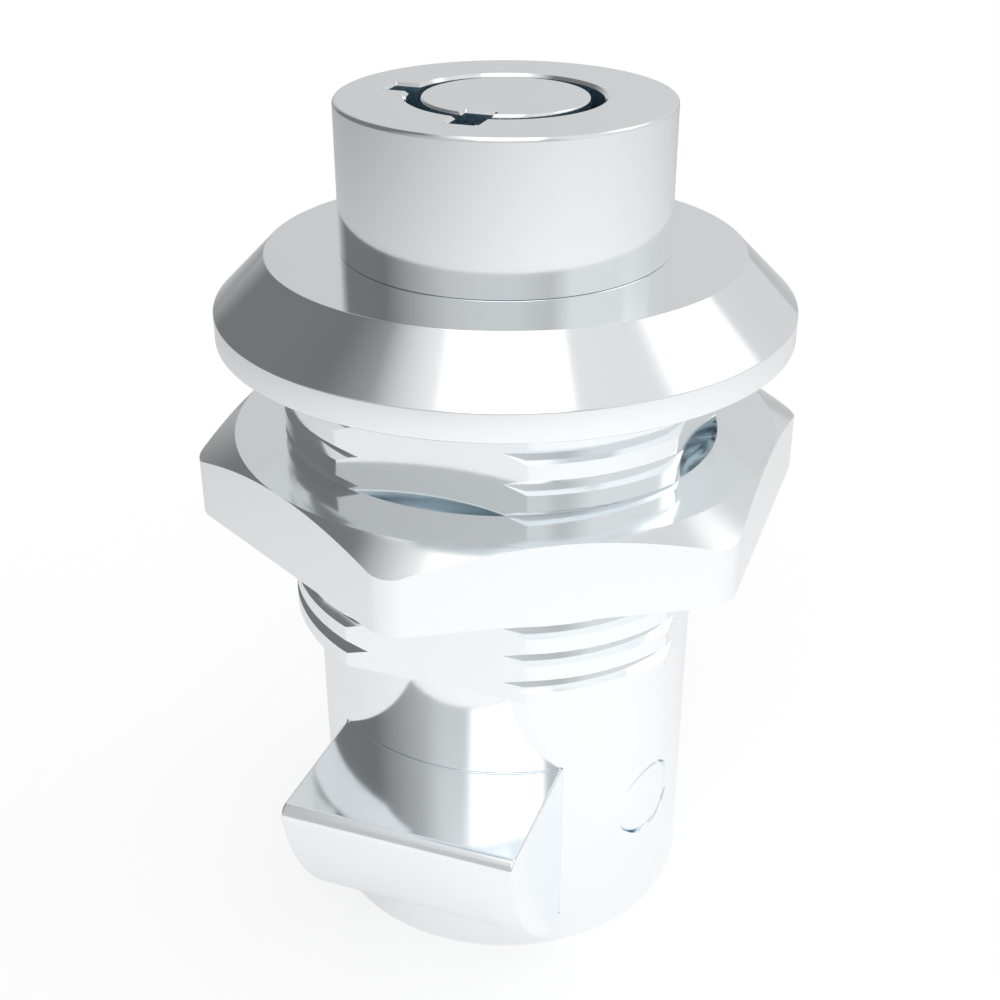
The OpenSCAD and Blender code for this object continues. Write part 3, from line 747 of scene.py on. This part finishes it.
class LATCH_OT_bolt(Operator):
    """Builds the latch bolt with its round nose and softened edges"""

    bl_idname = "latch.bolt"
    bl_label = "Latch bolt"

    def execute(self, context):
        sizes = context.scene.latch_bolt
        half, low = BOLT_HIGH.x, BOLT_LOW.z
        # The nose's round underside runs into the smaller round of its upper edge
        centre = (sizes.nose_r - sizes.nose_reach, sizes.top_z + sizes.nose_rise)
        drop = sizes.nose_rise + sizes.nose_edge_r
        run = math.sqrt((sizes.nose_r - sizes.nose_edge_r) ** 2 - drop ** 2)
        edge_at = (centre[0] - run, centre[1] - drop)
        touch_deg = math.degrees(math.atan2(-drop, -run)) % 360
        foot_deg = 180 + math.degrees(math.asin((centre[1] - low) / sizes.nose_r))
        outline = arc(edge_at, sizes.nose_edge_r, 90, touch_deg, 8)
        outline += arc(centre, sizes.nose_r, touch_deg, foot_deg, 40)[1:]
        outline += [(sizes.join_y, low), (sizes.join_y, sizes.top_z)]
        bm = bmesh.new()
        side = bm.faces.new([bm.verts.new((-half, y, z)) for y, z in outline])
        grown = bmesh.ops.extrude_face_region(bm, geom=[side])
        moved = [v for v in grown["geom"] if isinstance(v, bmesh.types.BMVert)]
        bmesh.ops.translate(bm, verts=moved, vec=(2 * half, 0, 0))
        bmesh.ops.recalc_face_normals(bm, faces=bm.faces)
        rims = [
            e for e in bm.edges
            if min(v.co.y for v in e.verts) < sizes.join_y - SAME
            and abs(e.verts[0].co.x - e.verts[1].co.x) < SAME
        ]
        bmesh.ops.bevel(
            bm, geom=rims, offset=sizes.side_edge, offset_type="OFFSET", segments=3, profile=0.5,
            affect="EDGES", material=-1,
        )
        bolt = as_object(bm, "sprung_bolt")
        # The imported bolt's tail reaches a little into the new nose
        tail = solid_copy("latch_bolt", "tail")
        tail_from = (-BARREL_R, sizes.join_y - 0.2 * MM, 2 * low)
        combine(tail, box_block(tail_from, (BARREL_R, BARREL_R, 0)), "INTERSECT")
        combine(bolt, spent(tail), "UNION")
        smooth(bolt, sharp_deg=35)
        place(bolt, "chrome_plate_polished", "bolt", "chrome_plated_bolt", "latch_bolt")
        return {"FINISHED"}


class LATCH_OT_finishes(Operator):
    """Gives the CAD nodes that stay their finishes"""

    bl_idname = "latch.finishes"
    bl_label = "Finishes of the kept nodes"

    def execute(self, context):
        kept = {
            "chrome_plate_casting": ["bolt_guide"],
            "ground_steel": ["driver_pins", "lock_pin", "drive_pin"],
            "drawn_spring_wire": ["knob_clip", "cam_clip", "return_spring", "bolt_spring", "tumbler_springs"],
            # The lock's inner parts are blue zinc; the same colour is also a painted tint deep in the keyway
            "blue_zinc_and_recess_tint": ["lock_sleeve", "lock_cam", "clutch_slider", "drive_spindle"],
            "turned_brass": ["key_pins", "tumbler_block"],
            "nitrile_rubber": ["knob_seal"],
        }
        for name, nodes in kept.items():
            for cad_node in nodes:
                dress(cad_node, name)
        return {"FINISHED"}


class LATCH_OT_knob(Operator):
    """Builds the knob with its turned outer shell, and the lock's plug. Deep in the keyway between them it
    paints a cold blue tint, which stands for the light reflected there
    """

    bl_idname = "latch.knob"
    bl_label = "Knob and plug"

    def execute(self, context):
        sizes = context.scene.latch_knob
        top, rim = KNOB_HIGH.z, KNOB_HIGH.x
        foot = BARREL_HIGH.z + sizes.foot_gap
        wall_r, edge_r = rim - sizes.shell, rim - sizes.top_edge
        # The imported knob's core reaches a little into the new shell
        knob = solid_copy("knob", "turning_knob")
        combine(knob, disc_block(wall_r + 0.05 * MM, 2 * KNOB_LOW.z, 2 * top, CORE_STEPS), "INTERSECT")
        shell = [(wall_r, foot), (rim - sizes.foot_edge, foot), (rim, foot + sizes.foot_edge)]
        shell += [*arc((edge_r, top - sizes.top_edge), sizes.top_edge, 0, 90, 8), (wall_r, top)]
        combine(knob, lathe(shell, TURNED_STEPS), "UNION")
        smooth(knob, sharp_deg=32)
        place(knob, "chrome_plate_polished", "knob", "chrome_plated_knob", "knob")
        # The knob's keyway walls and the plug below this height get a painted cold blue tint
        tinted_below = top - sizes.lit_depth
        paint_recess_tint(knob, lambda at: at.z < tinted_below and at.xy.length < sizes.keyway_reach)
        plug = solid_copy("lock_plug", "keyway_post")
        smooth(plug, sharp_deg=32)
        place(plug, "chrome_plate_polished", "plug", "chrome_plated_knob", "lock_plug")
        paint_recess_tint(plug, lambda at: at.z < tinted_below)
        return {"FINISHED"}


# The room's walls as the plate mirrors them: brightness by compass direction, in degrees from +X towards +Y,
# with a dark wall behind on the left
ROOM_WALLS = [
    (-180, 0.18), (-160, 0.17), (-110, 0.57), (-90, 0.63), (-65, 0.65), (-40, 0.55), (-25, 0.79), (20, 0.78),
    (42, 0.71), (100, 0.65), (126, 0.59), (150, 0.18), (180, 0.18),
]
# Softboxes: compass direction and height of the middle in degrees, brightness, then where the edges begin and
# end, as tangents from the middle: across from left to right, along from bottom to top. The first is the glow
# on the wall beside the second, which hangs over the front and reaches past the zenith. The third is a small
# one on the right.
SOFTBOXES = [
    (-68, 50, 0.85, (-0.8, -0.4, 0.0, 0.1), (-0.2, 0.0, 8, 9)),
    (-68, 50, 1.45, (-0.385, -0.29, 0.29, 0.35), (-0.345, -0.275, 8, 9)),
    (32, 37, 1.5, (-0.27, -0.17, 0.17, 0.27), (-0.3, -0.17, 0.17, 0.3)),
]


class LATCH_OT_studio(Operator):
    """Sets up the camera, the floor and the room with its softboxes"""

    bl_idname = "latch.studio"
    bl_label = "Studio"

    def execute(self, context):
        self.camera(context)
        self.floor(context)
        self.world(context)
        context.scene.view_settings.view_transform = "Standard"
        # Light that enters the keyway and the nut's bore leaves it only after many mirror bounces
        context.scene.cycles.glossy_bounces = 32
        context.scene.cycles.max_bounces = 32
        return {"FINISHED"}

    def camera(self, context):
        settings = context.scene.latch_studio
        data = bpy.data.cameras.new("photo_camera")
        data.lens = settings.lens
        data.sensor_width = 36
        data.clip_start, data.clip_end = MM, 10
        camera = bpy.data.objects.new("photo_camera", data)
        camera.location = (settings.camera_x, settings.camera_y, settings.camera_z)
        camera.rotation_euler = (math.pi / 2 - settings.camera_down, 0, settings.camera_round)
        context.scene.collection.objects.link(camera)
        context.scene.camera = camera

    def floor(self, context):
        settings = context.scene.latch_studio
        bm = bmesh.new()
        # The paper lies just under the latch's foot
        bmesh.ops.create_circle(
            bm, cap_ends=True, segments=96, radius=settings.floor_reach,
            matrix=Matrix.Translation((0, 0, FLOOR_Z - 0.01 * MM)),
        )
        floor = as_object(bm, "studio_floor")
        paper = bpy.data.materials.new("white_paper_sweep")
        paper.use_nodes = True
        tree = paper.node_tree
        tree.nodes.clear()
        light = node(tree, "ShaderNodeLightPath")
        place_at = node(tree, "ShaderNodeTexCoord")
        away = node(tree, "ShaderNodeVectorMath", {0: place_at.outputs["Object"]}, operation="LENGTH")
        toward = node(tree, "ShaderNodeVectorMath", {0: place_at.outputs["Object"]}, operation="NORMALIZE")
        # Mirrored in the plate, the paper has painted light: it glows white beside the latch, most on its
        # painted lit front right side, and takes the walls' grey further off
        near = self.painted_side_light(tree, toward, (0.707, -0.707, 0), settings.painted_lit_side, settings.painted_glow_near)
        far = self.painted_side_light(tree, toward, (1, 0, 0), settings.painted_lit_side, settings.painted_glow_far)
        share = maths(tree, "DIVIDE", away.outputs["Value"], settings.painted_glow_fade)
        spread = maths(tree, "MULTIPLY_ADD", share, share, 1.0)
        gain = maths(tree, "SUBTRACT", near, far)
        faded = maths(tree, "DIVIDE", gain, spread)
        painted_paper_light = maths(tree, "ADD", faded, far)
        # About half of the painted light is put in the paper's own white, where the latch casts real shade;
        # the rest is a painted glow that nothing shades
        painted_emission = maths(tree, "MULTIPLY", painted_paper_light, settings.painted_glow_share)
        white = maths(tree, "MULTIPLY", painted_paper_light, settings.painted_white_share)
        tone = node(
            tree, "ShaderNodeMix",
            {"Factor": light.outputs["Is Glossy Ray"], "A": settings.seen_white, "B": white},
            data_type="FLOAT",
        )
        in_mirror = maths(tree, "MULTIPLY", painted_emission, light.outputs["Is Glossy Ray"])
        seen = maths(tree, "MAXIMUM", light.outputs["Is Camera Ray"], light.outputs["Is Transmission Ray"])
        shown = maths(tree, "MULTIPLY_ADD", seen, settings.seen_glow, in_mirror)
        glow = node(tree, "ShaderNodeEmission", {"Strength": shown})
        body = node(tree, "ShaderNodeBsdfDiffuse", {"Color": tone.outputs["Result"]})
        both = node(tree, "ShaderNodeAddShader", {0: glow.outputs["Emission"], 1: body.outputs["BSDF"]})
        node(tree, "ShaderNodeOutputMaterial", {"Surface": both.outputs["Shader"]})
        floor.data.materials.append(paper)

    def world(self, context):
        world = bpy.data.worlds.new("studio_world")
        world.use_nodes = True
        tree = world.node_tree
        tree.nodes.clear()
        light = node(tree, "ShaderNodeLightPath")
        ray = node(tree, "ShaderNodeTexCoord").outputs["Generated"]
        parts = node(tree, "ShaderNodeSeparateXYZ", {0: ray})
        compass = maths(tree, "ARCTAN2", parts.outputs["Y"], parts.outputs["X"])
        share = node(
            tree, "ShaderNodeMapRange", {"Value": compass, "From Min": -math.pi, "From Max": math.pi},
        )
        walls = node(tree, "ShaderNodeFloatCurve", {"Value": share.outputs["Result"]})
        line = walls.mapping.curves[0]
        # A new curve has two points
        for _ in range(len(ROOM_WALLS) - 2):
            line.points.new(0.5, 0.5)
        for point, (degrees, bright) in zip(line.points, ROOM_WALLS):
            point.location = ((degrees + 180) / 360, bright)
            point.handle_type = "VECTOR"
        walls.mapping.update()
        level = walls.outputs["Value"]
        for azimuth, height, bright, across, along in SOFTBOXES:
            inside = self.softbox(tree, ray, azimuth, height, across, along)
            mixed = node(
                tree, "ShaderNodeMix", {"Factor": inside, "A": level, "B": bright}, data_type="FLOAT",
            )
            level = mixed.outputs["Result"]
        # The camera sees a white background
        shown = node(
            tree, "ShaderNodeMix", {"Factor": light.outputs["Is Camera Ray"], "A": level, "B": 1.0},
            data_type="FLOAT",
        )
        glow = node(
            tree, "ShaderNodeBackground", {"Strength": shown.outputs["Result"], "Color": (1, 1, 1, 1)},
        )
        node(tree, "ShaderNodeOutputWorld", {"Surface": glow.outputs["Background"]})
        context.scene.world = world

    def painted_side_light(self, tree, toward, direction, gain, middle):
        """A painted brightness that rises towards one side of the floor, as if that side were lit."""
        side = node(
            tree, "ShaderNodeVectorMath", {0: toward.outputs["Vector"], 1: direction},
            operation="DOT_PRODUCT",
        )
        return maths(tree, "MULTIPLY_ADD", side.outputs["Value"], gain, middle)

    def softbox(self, tree, ray, azimuth, height, across, along):
        """How much of a softbox a ray meets: 1 inside it, 0 outside, with soft edges between."""
        turn = Matrix.Rotation(math.radians(azimuth), 3, "Z") @ Matrix.Rotation(math.radians(-height), 3, "Y")
        # Only rays that go towards its middle can meet it
        least_facing = 0.01
        facing = node(tree, "ShaderNodeVectorMath", {0: ray, 1: turn.col[0]}, operation="DOT_PRODUCT")
        inside = maths(tree, "GREATER_THAN", facing.outputs["Value"], least_facing)
        for axis, (outer_low, low, high, outer_high) in ((turn.col[1], across), (turn.col[2], along)):
            off = node(tree, "ShaderNodeVectorMath", {0: ray, 1: axis}, operation="DOT_PRODUCT")
            tangent = maths(tree, "DIVIDE", off.outputs["Value"], facing.outputs["Value"])
            for start, end in ((outer_low, low), (outer_high, high)):
                edge = node(
                    tree, "ShaderNodeMapRange", {"Value": tangent, "From Min": start, "From Max": end},
                )
                inside = maths(tree, "MULTIPLY", inside, edge.outputs["Result"])
        return inside


class LATCH_PT_panel(Panel):
    """Lists the latch's operators and settings"""

    bl_idname = "LATCH_PT_panel"
    bl_label = "Push-to-close latch"
    bl_space_type = "VIEW_3D"
    bl_region_type = "UI"
    bl_category = "Latch"

    def draw(self, context):
        for operator in OPERATORS:
            self.layout.operator(operator.bl_idname)
        for group in SETTINGS:
            box = self.layout.box()
            settings = getattr(context.scene, group)
            for field in settings.bl_rna.properties.keys():
                if field not in ("rna_type", "name"):
                    box.prop(settings, field)


OPERATORS = [
    LATCH_OT_studio, LATCH_OT_finishes, LATCH_OT_housing, LATCH_OT_pins, LATCH_OT_nut, LATCH_OT_bolt,
    LATCH_OT_knob,
]
SETTINGS = {
    "latch_housing": HousingSizes,
    "latch_pins": PinSizes,
    "latch_thread": ThreadSizes,
    "latch_nut": NutSizes,
    "latch_bolt": BoltSizes,
    "latch_knob": KnobSizes,
    "latch_colours": FinishColours,
    "latch_studio": StudioSettings,
}


def register():
    for group in SETTINGS.values():
        bpy.utils.register_class(group)
    for name, group in SETTINGS.items():
        setattr(bpy.types.Scene, name, PointerProperty(type=group))
    for operator in OPERATORS:
        bpy.utils.register_class(operator)
    bpy.utils.register_class(LATCH_PT_panel)


def unregister():
    bpy.utils.unregister_class(LATCH_PT_panel)
    for operator in reversed(OPERATORS):
        bpy.utils.unregister_class(operator)
    for name in SETTINGS:
        delattr(bpy.types.Scene, name)
    for group in reversed(list(SETTINGS.values())):
        bpy.utils.unregister_class(group)


def main():
    register()
    bpy.ops.latch.studio()
    bpy.ops.latch.finishes()
    bpy.ops.latch.housing()
    bpy.ops.latch.pins()
    bpy.ops.latch.nut()
    bpy.ops.latch.bolt()
    bpy.ops.latch.knob()


if __name__ == "__main__":
    main()
